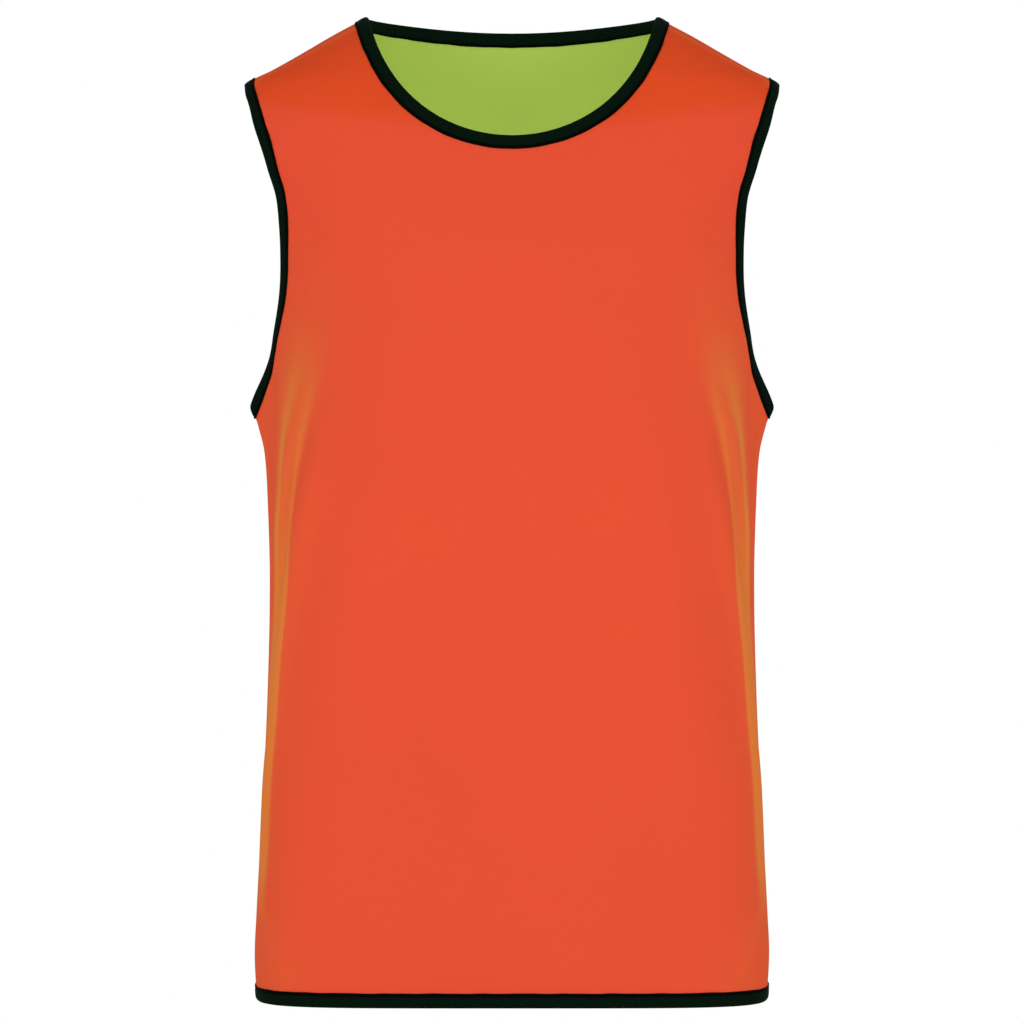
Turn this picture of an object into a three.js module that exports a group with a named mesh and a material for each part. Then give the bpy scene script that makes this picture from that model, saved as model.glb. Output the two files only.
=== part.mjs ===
// Reversible sports bib, worn form: an orange outer ply and a lime inner ply, bound in black tape.
// Millimetres, +Z up, the front faces -Y and the wearer's left is +X.
// The origin lies midway between the shoulder seams, at half their height.
import * as THREE from 'three';

// Heights
const NECK_POINT_HEIGHT = 25;
const SHOULDER_TIP_HEIGHT = -25;
const UNDERARM_HEIGHT = -267;
const HEM_HEIGHT = -703;

// Neckline
const FRONT_NECK_DROP = 96;
const BACK_NECK_DROP = 5.5;
const BACK_NECK_CURVE = 4;
const NECK_HALF_WIDTH = 102.5;
const NECK_FLARE = 7;
const NECK_FLARE_POWER = 6;

// Armhole, seen from the side: a slot, round over the shoulder and pointed at the underarm
const ARMHOLE_HALF_DEPTH = { front: 50, back: 54 };
const SHOULDER_ROUNDNESS = 2.6;
const UNDERARM_ROUNDNESS = 1.15;
const ROUNDNESS_TURN = { from: 0.3, to: 0.9 };

// Cloth and tape
const PLY = 1;
const GAP = 0.3;
const TAPE = 1;
const TAPE_COVER = 9.2;
const TAPE_FOLD_REACH = 1.7;
const FOLD_CLEARANCE = 0.8;
const TAPE_FOLD_SHOULDER = 1.3;

// The body's rings: half width and depth at each height, and how square the ring is.
// The flare is how far the underarm pulls the side seam out past the ring, into a soft corner.
const SECTIONS = [
  { height: 25, halfWidth: 109.5, frontDepth: 50, backDepth: 64, squareness: 2.2, flare: 0 },
  { height: 12, halfWidth: 134, frontDepth: 59, backDepth: 70, squareness: 2.2, flare: 0 },
  { height: -2, halfWidth: 158, frontDepth: 67, backDepth: 77, squareness: 2.2, flare: 0 },
  { height: -14, halfWidth: 179, frontDepth: 73, backDepth: 83, squareness: 2.2, flare: 0 },
  { height: -25, halfWidth: 199.5, frontDepth: 77, backDepth: 88, squareness: 2.2, flare: 0 },
  { height: -37, halfWidth: 206.5, frontDepth: 81, backDepth: 93, squareness: 2.2, flare: 0 },
  { height: -58, halfWidth: 209, frontDepth: 87, backDepth: 99, squareness: 2.2, flare: 0 },
  { height: -88, halfWidth: 201, frontDepth: 94, backDepth: 105, squareness: 2.25, flare: 0 },
  { height: -114, halfWidth: 191.8, frontDepth: 100, backDepth: 109, squareness: 2.3, flare: 0 },
  { height: -150, halfWidth: 185, frontDepth: 108, backDepth: 112, squareness: 2.3, flare: 0 },
  { height: -190, halfWidth: 182.5, frontDepth: 115, backDepth: 114, squareness: 2.25, flare: 3.5 },
  { height: -232, halfWidth: 180.5, frontDepth: 120, backDepth: 114, squareness: 2.3, flare: 16.5 },
  { height: -254, halfWidth: 179, frontDepth: 121.5, backDepth: 113, squareness: 2.4, flare: 18.5 },
  { height: -267, halfWidth: 178, frontDepth: 122, backDepth: 112, squareness: 2.5, flare: 17.5 },
  { height: -280, halfWidth: 178, frontDepth: 122, backDepth: 111, squareness: 2.55, flare: 13.5 },
  { height: -300, halfWidth: 178, frontDepth: 122, backDepth: 110, squareness: 2.6, flare: 8.5 },
  { height: -340, halfWidth: 179, frontDepth: 121, backDepth: 107, squareness: 2.75, flare: 4.7 },
  { height: -400, halfWidth: 180.3, frontDepth: 119, backDepth: 103, squareness: 3, flare: 1.5 },
  { height: -493, halfWidth: 182.8, frontDepth: 117, backDepth: 100, squareness: 3.4, flare: 0 },
  { height: -568, halfWidth: 186.2, frontDepth: 117, backDepth: 102, squareness: 3.9, flare: 0 },
  { height: -643, halfWidth: 189.8, frontDepth: 118, backDepth: 106, squareness: 4.5, flare: 0 },
  { height: -670, halfWidth: 190.8, frontDepth: 118.5, backDepth: 107.5, squareness: 4.8, flare: 0 },
  { height: -704, halfWidth: 189, frontDepth: 119, backDepth: 109, squareness: 5, flare: 0 },
];
const FLARE_RUN = 29;
const FLARE_SOFTNESS = 2.5;

// Folds, mirrored left and right. Angles run from the middle of the panel to its side seam.
// A positive rise is a ridge and a negative one a trough. Bow is the sideways curve at half length.
const FOLDS = {
  front: [
    { fromAngle: 44, fromHeight: -250, toAngle: 64, toHeight: -640, bow: 9, halfWidth: 13, rise: 4 },
    { fromAngle: 54, fromHeight: -240, toAngle: 67, toHeight: -400, bow: 4, halfWidth: 10, rise: 3.2 },
    { fromAngle: 49, fromHeight: -262, toAngle: 63, toHeight: -430, bow: 6, halfWidth: 9, rise: -2.6 },
    { fromAngle: 64, fromHeight: -46, toAngle: 40, toHeight: -96, bow: 0, halfWidth: 17, rise: -2.2 },
    { fromAngle: 66, fromHeight: -96, toAngle: 42, toHeight: -150, bow: 0, halfWidth: 18, rise: -2 },
    { fromAngle: 33, fromHeight: -320, toAngle: 41, toHeight: -560, bow: 2, halfWidth: 20, rise: 1.8 },
  ],
  back: [
    { fromAngle: 46, fromHeight: -246, toAngle: 62, toHeight: -600, bow: 7, halfWidth: 14, rise: 4.2 },
    { fromAngle: 57, fromHeight: -236, toAngle: 69, toHeight: -372, bow: 3, halfWidth: 10, rise: 3 },
    { fromAngle: 52, fromHeight: -256, toAngle: 64, toHeight: -410, bow: 5, halfWidth: 9, rise: -2.4 },
    { fromAngle: 64, fromHeight: -62, toAngle: 36, toHeight: -124, bow: 0, halfWidth: 20, rise: -2.4 },
    { fromAngle: 22, fromHeight: -300, toAngle: 27, toHeight: -560, bow: 5, halfWidth: 22, rise: 2.4 },
  ],
};
const FOLD_RADIUS = 180;
const FOLD_RUN_IN = 0.32;
const SEAM_CALM = 16;

// How finely each panel is divided
const STRAP_ROWS = 11;
const ARMHOLE_ROWS = 17;
const SIDE_ROWS = 11;
const SIDE_ROW_GROWTH = 1.4;
const STRAP_COLUMNS = 6;
const NECK_HALF_COLUMNS = 5;
const BELOW_NECK_ANGLE = 38;
const BELOW_STRAP_ANGLE = 64;
const EDGE_SAMPLES = 240;
const WALK_ROUNDS = 6;

const ORANGE = 0xe74f36;
const LIME = 0x9dbc4d;
const BLACK = 0x101812;

const RIGHT_ANGLE = Math.PI / 2;
const radians = THREE.MathUtils.degToRad;
const blend = THREE.MathUtils.lerp;
const SAME = 1e-6;
const STEP = 1e-3;

// Reads one column of a table at any height, as a smooth curve that never overshoots a row.
function readColumn(rows, column, height) {
  const last = rows.length - 1;
  const slope = (i) => (rows[i + 1][column] - rows[i][column]) / (rows[i + 1].height - rows[i].height);
  const tangent = (i) => {
    if (i === 0) return slope(0);
    if (i === last) return slope(last - 1);
    const before = slope(i - 1);
    const after = slope(i);
    return before * after <= 0 ? 0 : (2 * before * after) / (before + after);
  };
  if (height >= rows[0].height) return rows[0][column] + slope(0) * (height - rows[0].height);
  if (height <= rows[last].height) return rows[last][column];
  const i = rows.findIndex((row, index) => height <= row.height && height > rows[index + 1].height);
  const span = rows[i + 1].height - rows[i].height;
  const t = (height - rows[i].height) / span;
  const start = (1 + 2 * t) * (1 - t) ** 2 * rows[i][column] + t * (1 - t) ** 2 * span * tangent(i);
  const end = t * t * (3 - 2 * t) * rows[i + 1][column] + t * t * (t - 1) * span * tangent(i + 1);
  return start + end;
}

function sectionAt(height) {
  return {
    halfWidth: readColumn(SECTIONS, 'halfWidth', height),
    front: readColumn(SECTIONS, 'frontDepth', height),
    back: readColumn(SECTIONS, 'backDepth', height),
    squareness: readColumn(SECTIONS, 'squareness', height),
    flare: readColumn(SECTIONS, 'flare', height),
  };
}

// A point of the smooth torso form. The ring angle is 0 at the front middle and grows towards +X.
function ringPoint(ringAngle, height) {
  const section = sectionAt(height);
  const across = Math.sin(ringAngle);
  const along = Math.cos(ringAngle);
  const power = section.squareness;
  const reach = (Math.abs(across) ** power + Math.abs(along) ** power) ** (-1 / power);
  const depth = (along >= 0 ? section.front : section.back) * reach * along;
  const fromSeam = Math.hypot(depth, FLARE_SOFTNESS) - FLARE_SOFTNESS;
  const flare = section.flare * Math.max(0, 1 - fromSeam / FLARE_RUN) ** 2;
  return new THREE.Vector3(section.halfWidth * reach * across + Math.sign(across) * flare, -depth, height);
}

function normalOf(surface, ringAngle, height) {
  const around = surface(ringAngle + STEP, height).sub(surface(ringAngle - STEP, height));
  const up = surface(ringAngle, height + STEP).sub(surface(ringAngle, height - STEP));
  return around.cross(up).normalize();
}

// How far the folds lift the cloth off the smooth form
function foldLift(ringAngle, height) {
  const face = Math.cos(ringAngle) >= 0 ? 'front' : 'back';
  const angle = Math.asin(Math.min(1, Math.abs(Math.sin(ringAngle))));
  const fromSeam = FOLD_RADIUS * (RIGHT_ANGLE - angle);
  const calm = THREE.MathUtils.smoothstep(fromSeam, 0, SEAM_CALM);
  let lift = 0;
  for (const fold of FOLDS[face]) {
    const runAcross = FOLD_RADIUS * radians(fold.toAngle - fold.fromAngle);
    const runDown = fold.toHeight - fold.fromHeight;
    const length = Math.hypot(runAcross, runDown);
    const offAcross = FOLD_RADIUS * (angle - radians(fold.fromAngle));
    const offDown = height - fold.fromHeight;
    const t = (offAcross * runAcross + offDown * runDown) / length ** 2;
    if (t <= 0 || t >= 1) continue;
    const sideways = (offAcross * -runDown + offDown * runAcross) / length - fold.bow * 4 * t * (1 - t);
    const fromEnd = Math.min(t, 1 - t);
    const fade = THREE.MathUtils.smoothstep(fromEnd, 0, FOLD_RUN_IN);
    lift += fold.rise * fade * Math.exp(-((sideways / fold.halfWidth) ** 2));
  }
  return lift * calm;
}

function clothPoint(ringAngle, height) {
  const lift = foldLift(ringAngle, height);
  const point = ringPoint(ringAngle, height);
  return lift === 0 ? point : point.addScaledVector(normalOf(ringPoint, ringAngle, height), lift);
}

// A place on a panel is an angle from the panel's middle and a height.
const ringAngleOf = (face, place) => (face === 'front' ? place.angle : Math.PI - place.angle);
const positionOf = (face, place) => clothPoint(ringAngleOf(face, place), place.height);
const normalAt = (face, place) => normalOf(clothPoint, ringAngleOf(face, place), place.height);
const mirrored = (place) => ({ angle: -place.angle, height: place.height });

// The armhole's edge on one panel, from the shoulder tip at 0 to the underarm at 1
function armholeEdge(face, t) {
  const middle = (SHOULDER_TIP_HEIGHT + UNDERARM_HEIGHT) / 2;
  const half = (SHOULDER_TIP_HEIGHT - UNDERARM_HEIGHT) / 2;
  const turn = Math.PI * t;
  const sharpened = THREE.MathUtils.smoothstep(t, ROUNDNESS_TURN.from, ROUNDNESS_TURN.to);
  const roundness = blend(SHOULDER_ROUNDNESS, UNDERARM_ROUNDNESS, sharpened);
  const rise = Math.sign(Math.cos(turn)) * Math.abs(Math.cos(turn)) ** (2 / roundness);
  const height = middle + half * rise;
  const depth = ARMHOLE_HALF_DEPTH[face] * Math.abs(Math.sin(turn)) ** (2 / roundness);
  const section = sectionAt(height);
  const share = depth / section[face];
  const across = (1 - share ** section.squareness) ** (1 / section.squareness);
  return { angle: Math.atan2(across, share), height };
}

// The neck's edge on one panel, from its middle at 0 to the neck end of the shoulder seam at 1
function neckEdge(face, t) {
  if (face === 'back') {
    const angle = RIGHT_ANGLE * t;
    return { angle, height: NECK_POINT_HEIGHT - BACK_NECK_DROP * Math.cos(angle) ** BACK_NECK_CURVE };
  }
  const share = 1 - (1 - t) ** SECTIONS[0].squareness;
  const turn = RIGHT_ANGLE * share;
  const height = NECK_POINT_HEIGHT - FRONT_NECK_DROP * Math.cos(turn);
  const neckWidth = SECTIONS[0].halfWidth - NECK_FLARE;
  const reach = blend(NECK_HALF_WIDTH, neckWidth, share ** NECK_FLARE_POWER);
  const x = reach * Math.sin(turn) + NECK_FLARE * share ** NECK_FLARE_POWER;
  const section = sectionAt(height);
  const across = Math.min(1, x / section.halfWidth);
  const depthShare = Math.max(0, 1 - across ** section.squareness) ** (1 / section.squareness);
  return { angle: Math.atan2(across, depthShare), height };
}

// Places at even steps of length along an edge
function evenPlaces(face, edge, count) {
  const fine = EDGE_SAMPLES;
  const places = Array.from({ length: fine + 1 }, (_, i) => edge(face, i / fine));
  const lengths = [0];
  for (let i = 1; i <= fine; i++) {
    const stride = positionOf(face, places[i]).distanceTo(positionOf(face, places[i - 1]));
    lengths.push(lengths[i - 1] + stride);
  }
  return Array.from({ length: count + 1 }, (_, step) => {
    if (step === count) return places[fine];
    const wanted = (lengths[fine] * step) / count;
    const i = lengths.findIndex((length) => length > wanted);
    const share = (wanted - lengths[i - 1]) / (lengths[i] - lengths[i - 1]);
    return edge(face, (i - 1 + share) / fine);
  });
}

// Moves an edge's places into the cloth by the width that the tape covers
function coveredLine(face, places, startsOnSeam, hollowMiddle) {
  const last = places.length - 1;
  return places.map((place, i) => {
    const position = positionOf(face, place);
    const before = i > 0 ? places[i - 1] : mirrored(places[1]);
    const after = places[Math.min(i + 1, last)];
    const onSeam = i === last || (i === 0 && startsOnSeam);
    const tangent = onSeam
      ? new THREE.Vector3(0, 1, 0)
      : positionOf(face, after).sub(positionOf(face, before)).normalize();
    const inward = normalAt(face, place).cross(tangent).normalize();
    if (inward.dot(position.clone().sub(hollowMiddle)) < 0) inward.negate();
    return walk(face, place, position.clone().addScaledVector(inward, TAPE_COVER));
  });
}

// Finds the place on the cloth nearest to a point close to a known place
function walk(face, start, target) {
  const place = { ...start };
  for (let round = 0; round < WALK_ROUNDS; round++) {
    const here = positionOf(face, place);
    const miss = target.clone().sub(here);
    const turned = { angle: place.angle + STEP, height: place.height };
    const raised = { angle: place.angle, height: place.height + STEP };
    const perAngle = positionOf(face, turned).sub(here).divideScalar(STEP);
    const perHeight = positionOf(face, raised).sub(here).divideScalar(STEP);
    const aa = perAngle.dot(perAngle);
    const ah = perAngle.dot(perHeight);
    const hh = perHeight.dot(perHeight);
    const am = perAngle.dot(miss);
    const hm = perHeight.dot(miss);
    const scale = aa * hh - ah * ah;
    place.angle += (am * hh - hm * ah) / scale;
    place.height += (hm * aa - am * ah) / scale;
  }
  if (Math.abs(start.angle - RIGHT_ANGLE) < SAME) place.angle = RIGHT_ANGLE;
  if (Math.abs(start.angle) < SAME) place.angle = 0;
  return place;
}

const between = (a, b, t) => ({ angle: blend(a.angle, b.angle, t), height: blend(a.height, b.height, t) });
const line = (a, b, count) => Array.from({ length: count + 1 }, (_, i) => between(a, b, i / count));

// Fills four bounding lines with rows of places
function fillPatch(top, bottom, left, right) {
  const columns = top.length - 1;
  const rows = left.length - 1;
  const corners = { tl: top[0], tr: top[columns], bl: bottom[0], br: bottom[columns] };
  const mix = (key, u, v, i, j) =>
    (1 - v) * top[j][key] + v * bottom[j][key] + (1 - u) * left[i][key] + u * right[i][key] -
    (1 - v) * ((1 - u) * corners.tl[key] + u * corners.tr[key]) -
    v * ((1 - u) * corners.bl[key] + u * corners.br[key]);
  return left.map((_, i) => top.map((__, j) => {
    if (i === 0) return top[j];
    if (i === rows) return bottom[j];
    if (j === 0) return left[i];
    if (j === columns) return right[i];
    const u = j / columns;
    const v = i / rows;
    return { angle: mix('angle', u, v, i, j), height: mix('height', u, v, i, j) };
  }));
}

const bothHalves = (places) => [...places.slice(1).map(mirrored).reverse(), ...places];

// Half of a level line near the hem, with the columns that come down from neck, strap and armhole
function hemHalf(height) {
  const angles = [
    { to: BELOW_NECK_ANGLE, columns: NECK_HALF_COLUMNS },
    { to: BELOW_STRAP_ANGLE, columns: STRAP_COLUMNS },
    { to: 90, columns: ARMHOLE_ROWS - STRAP_ROWS },
  ];
  const places = [{ angle: 0, height }];
  for (const { to, columns } of angles) {
    places.push(...line(places[places.length - 1], { angle: radians(to), height }, columns).slice(1));
  }
  return places;
}

// The lines of one panel: its cut edges, and the lines that the tape covers them to
function panelLines(face) {
  const armholeHeight = (SHOULDER_TIP_HEIGHT + UNDERARM_HEIGHT) / 2;
  const armholeMiddle = new THREE.Vector3(sectionAt(armholeHeight).halfWidth, 0, armholeHeight);
  const neckMiddle = new THREE.Vector3(0, 0, NECK_POINT_HEIGHT + BACK_NECK_DROP);
  const armhole = evenPlaces(face, armholeEdge, ARMHOLE_ROWS);
  const neck = evenPlaces(face, neckEdge, NECK_HALF_COLUMNS + STRAP_ROWS);
  const armholeCover = coveredLine(face, armhole, true, armholeMiddle);
  const neckCover = coveredLine(face, neck, false, neckMiddle);
  const hem = bothHalves(hemHalf(HEM_HEIGHT));
  const hemCover = bothHalves(hemHalf(HEM_HEIGHT + TAPE_COVER));
  return { face, armhole, armholeCover, neck, neckCover, hem, hemCover };
}

// At each pair of stations the same rule picks the diagonal, so tape and cloth never cross.
function leads(a, b) {
  if (Math.abs(a.height - b.height) > SAME) return a.height > b.height;
  return Math.abs(a.angle) > Math.abs(b.angle);
}

// Divides one panel into triangles over shared places
function panelSheet(lines) {
  const { face, armhole, armholeCover, neck, neckCover, hem, hemCover } = lines;
  const places = [];
  const triangles = [];
  const known = new Map();
  const indexOf = (place) => {
    const key = `${place.angle.toFixed(7)}/${place.height.toFixed(5)}`;
    if (!known.has(key)) {
      known.set(key, places.length);
      places.push(place);
    }
    return known.get(key);
  };
  const addTriangle = (a, b, c) => {
    const area = (b.angle - a.angle) * (c.height - a.height) - (c.angle - a.angle) * (b.height - a.height);
    const outward = face === 'front' ? area > 0 : area < 0;
    triangles.push(outward ? [a, b, c].map(indexOf) : [a, c, b].map(indexOf));
  };
  const lengthOf = (a, b) => positionOf(face, a).distanceTo(positionOf(face, b));
  const addPatch = (rows) => {
    for (let i = 0; i < rows.length - 1; i++) {
      for (let j = 0; j < rows[i].length - 1; j++) {
        const [a, b, c, d] = [rows[i][j], rows[i][j + 1], rows[i + 1][j + 1], rows[i + 1][j]];
        if (lengthOf(a, c) < lengthOf(b, d)) {
          addTriangle(a, b, c);
          addTriangle(a, c, d);
        } else {
          addTriangle(a, b, d);
          addTriangle(b, c, d);
        }
      }
    }
  };
  const addStrip = (edge, cover) => {
    for (let i = 0; i < edge.length - 1; i++) {
      if (leads(edge[i], edge[i + 1])) {
        addTriangle(edge[i], cover[i], cover[i + 1]);
        addTriangle(edge[i], cover[i + 1], edge[i + 1]);
      } else {
        addTriangle(edge[i], cover[i], edge[i + 1]);
        addTriangle(cover[i], cover[i + 1], edge[i + 1]);
      }
    }
  };

  // The strap on the +X side, from its neck side to its armhole side
  const strapTop = line(neckCover[neckCover.length - 1], armholeCover[0], STRAP_COLUMNS);
  const strapFoot = line(neckCover[NECK_HALF_COLUMNS], armholeCover[STRAP_ROWS], STRAP_COLUMNS);
  const strapNeckSide = neckCover.slice(NECK_HALF_COLUMNS).reverse();
  const strapArmSide = armholeCover.slice(0, STRAP_ROWS + 1);
  const strap = fillPatch(strapTop, strapFoot, strapNeckSide, strapArmSide);
  addPatch(strap);
  addPatch(strap.map((row) => row.map(mirrored)));

  // The body below the neck, the straps and the armholes
  const neckFoot = neckCover.slice(0, NECK_HALF_COLUMNS);
  const bodyTop = bothHalves([...neckFoot, ...strapFoot, ...armholeCover.slice(STRAP_ROWS + 1)]);
  const seamTop = armholeCover[ARMHOLE_ROWS];
  const seamFoot = hemCover[hemCover.length - 1];
  const seamShares = Array.from({ length: SIDE_ROWS + 1 }, (_, i) => (i / SIDE_ROWS) ** SIDE_ROW_GROWTH);
  const sideSeam = seamShares.map((share) => between(seamTop, seamFoot, share));
  addPatch(fillPatch(bodyTop, hemCover, sideSeam.map(mirrored), sideSeam));

  addStrip(armhole, armholeCover);
  addStrip(armhole.map(mirrored), armholeCover.map(mirrored));
  addStrip(neck, neckCover);
  addStrip(neck.map(mirrored), neckCover.map(mirrored));
  addStrip(hem, hemCover);
  return { face, places, triangles };
}

const seamShift = (face) => new THREE.Vector3(0, face === 'front' ? -GAP / 2 : GAP / 2, 0);

function meshOf(name, positions, triangles, color) {
  const geometry = new THREE.BufferGeometry();
  const numbers = positions.flatMap((position) => position.toArray());
  geometry.setAttribute('position', new THREE.Float32BufferAttribute(numbers, 3));
  geometry.setIndex(triangles.flat());
  geometry.computeVertexNormals();
  const material = new THREE.MeshStandardMaterial({ color, roughness: 0.9, metalness: 0 });
  const mesh = new THREE.Mesh(geometry, material);
  mesh.name = name;
  return mesh;
}

// One ply of a panel: the sheet moved out and in, and closed along its cut edges
function plyMesh(name, sheet, outerOffset, color) {
  const { face, places, triangles } = sheet;
  const shift = seamShift(face);
  const normals = places.map((place) => normalAt(face, place));
  const moved = (offset) =>
    places.map((place, i) => positionOf(face, place).addScaledVector(normals[i], offset).add(shift));
  const count = places.length;
  const directed = new Set(triangles.flatMap(([a, b, c]) => [`${a}/${b}`, `${b}/${c}`, `${c}/${a}`]));
  const faces = triangles.flatMap(([a, b, c]) => [[a, b, c], [c + count, b + count, a + count]]);
  for (const edge of directed) {
    const [a, b] = edge.split('/').map(Number);
    if (directed.has(`${b}/${a}`)) continue;
    faces.push([a, a + count, b + count], [a, b + count, b]);
  }
  return meshOf(name, [...moved(outerOffset), ...moved(outerOffset - PLY)], faces, color);
}

// A station of the tape: the cut edge and the covered line, with their normals
function tapeStation(face, edge, cover) {
  const onSeam = Math.abs(Math.abs(edge.angle) - RIGHT_ANGLE) < SAME;
  const shift = onSeam ? new THREE.Vector3() : seamShift(face);
  return {
    angle: edge.angle,
    height: edge.height,
    edge: positionOf(face, edge).add(shift),
    cover: positionOf(face, cover).add(shift),
    edgeNormal: normalAt(face, edge),
    coverNormal: normalAt(face, cover),
  };
}

// The tape's folded section: distance in from the cut edge, and height off the outer ply
function tapeProfile() {
  const top = GAP;
  const foot = -(2 * PLY + 2 * GAP);
  const middle = (top + foot) / 2;
  return [
    { inward: TAPE_COVER, lift: top + TAPE },
    { inward: 0, lift: top + TAPE },
    { inward: -TAPE_FOLD_REACH, lift: middle + TAPE_FOLD_SHOULDER },
    { inward: -TAPE_FOLD_REACH, lift: middle - TAPE_FOLD_SHOULDER },
    { inward: 0, lift: foot - TAPE },
    { inward: TAPE_COVER, lift: foot - TAPE },
    { inward: TAPE_COVER, lift: foot },
    { inward: -FOLD_CLEARANCE, lift: foot },
    { inward: -FOLD_CLEARANCE, lift: top },
    { inward: TAPE_COVER, lift: top },
  ];
}

function tapeMesh(name, stations) {
  const profile = tapeProfile();
  const size = profile.length;
  const positions = stations.flatMap((station) => {
    const inward = station.cover.clone().sub(station.edge).normalize();
    return profile.map((row) => {
      const covered = row.inward === TAPE_COVER;
      const base = covered ? station.cover.clone() : station.edge.clone().addScaledVector(inward, row.inward);
      return base.addScaledVector(covered ? station.coverNormal : station.edgeNormal, row.lift);
    });
  });
  const triangles = [];
  stations.forEach((station, i) => {
    const next = (i + 1) % stations.length;
    const stationLeads = leads(station, stations[next]);
    profile.forEach((row, k) => {
      const after = (k + 1) % size;
      const rowIsOuter = row.inward < profile[after].inward;
      const [a, b, c, d] = [i * size + k, i * size + after, next * size + after, next * size + k];
      if (stationLeads === rowIsOuter) triangles.push([a, b, c], [a, c, d]);
      else triangles.push([a, b, d], [b, c, d]);
    });
  });
  const volume = triangles.reduce((sum, [a, b, c]) => {
    return sum + positions[a].dot(positions[b].clone().cross(positions[c]));
  }, 0);
  const outward = volume > 0 ? triangles : triangles.map(([a, b, c]) => [a, c, b]);
  return meshOf(name, positions, outward, BLACK);
}

// Joins the stations of a front and a back edge into one loop that meets itself on the seams
function loopStations(frontEdge, frontCover, backEdge, backCover) {
  const front = frontEdge.map((edge, i) => tapeStation('front', edge, frontCover[i]));
  const back = backEdge.map((edge, i) => tapeStation('back', edge, backCover[i])).reverse();
  return [...front, ...back.slice(1, -1)];
}

const front = panelLines('front');
const back = panelLines('back');
const frontSheet = panelSheet(front);
const backSheet = panelSheet(back);

const bib = new THREE.Group();
bib.add(plyMesh('front_outer', frontSheet, 0, ORANGE));
bib.add(plyMesh('back_outer', backSheet, 0, ORANGE));
bib.add(plyMesh('front_inner', frontSheet, -(PLY + GAP), LIME));
bib.add(plyMesh('back_inner', backSheet, -(PLY + GAP), LIME));
bib.add(tapeMesh('neck_binding', loopStations(
  bothHalves(front.neck), bothHalves(front.neckCover), bothHalves(back.neck), bothHalves(back.neckCover))));
bib.add(tapeMesh('armhole_binding_left', loopStations(
  front.armhole, front.armholeCover, back.armhole, back.armholeCover)));
bib.add(tapeMesh('armhole_binding_right', loopStations(
  front.armhole.map(mirrored), front.armholeCover.map(mirrored),
  back.armhole.map(mirrored), back.armholeCover.map(mirrored))));
bib.add(tapeMesh('hem_binding', loopStations(front.hem, front.hemCover, back.hem, back.hemCover)));

export default bib;
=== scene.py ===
"""Looks of a reversible sports bib in worn form: knit cloth, bound edges, stitches and a studio."""
import math
from collections import namedtuple

import bmesh
import bpy
import numpy as np
from bpy.props import FloatProperty, FloatVectorProperty, PointerProperty
from bpy.types import Operator, Panel, PropertyGroup
from mathutils import Matrix, Vector, kdtree


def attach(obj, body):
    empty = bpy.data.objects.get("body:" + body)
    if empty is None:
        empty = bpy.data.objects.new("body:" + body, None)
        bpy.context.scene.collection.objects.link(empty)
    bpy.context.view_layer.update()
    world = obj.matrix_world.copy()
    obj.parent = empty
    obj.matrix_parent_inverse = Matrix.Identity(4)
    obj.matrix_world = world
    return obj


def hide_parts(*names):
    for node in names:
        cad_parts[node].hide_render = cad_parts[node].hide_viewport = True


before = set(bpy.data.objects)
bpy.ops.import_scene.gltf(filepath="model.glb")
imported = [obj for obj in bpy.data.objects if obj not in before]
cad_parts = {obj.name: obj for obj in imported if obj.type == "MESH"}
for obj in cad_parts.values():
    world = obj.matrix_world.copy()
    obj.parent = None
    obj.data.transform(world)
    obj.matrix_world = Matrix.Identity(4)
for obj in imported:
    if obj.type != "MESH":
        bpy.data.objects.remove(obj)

bl_info = {
    "name": "Reversible Sports Bib",
    "version": (1, 0, 0),
    "blender": (4, 5, 0),
    "location": "3D View > Sidebar > Bib",
    "description": "Makes the cloth, bindings and stitches of a reversible sports bib, and its studio",
    "category": "Mesh",
}

BODY = "root"
MM = 0.001
RIGHT_ANGLE = math.pi / 2
STEP = 1e-3

# The cut, in millimetres. The origin lies midway between the shoulder seams, at half their height.
NECK_POINT_HEIGHT = 25
SHOULDER_TIP_HEIGHT = -25
UNDERARM_HEIGHT = -267
HEM_HEIGHT = -703
FRONT_NECK_DROP = 96
BACK_NECK_DROP = 5.5
BACK_NECK_CURVE = 4
NECK_HALF_WIDTH = 102.5
NECK_FLARE = 7
NECK_FLARE_POWER = 6
ARMHOLE_HALF_DEPTH = {"front": 50, "back": 54}
SHOULDER_ROUNDNESS = 2.6
UNDERARM_ROUNDNESS = 1.15
ROUNDNESS_TURN = (0.3, 0.9)
ARMHOLE_MIDDLE = (SHOULDER_TIP_HEIGHT + UNDERARM_HEIGHT) / 2
ARMHOLE_HOLLOW = 195
FLARE_RUN = 29
FLARE_SOFTNESS = 2.5

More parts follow.
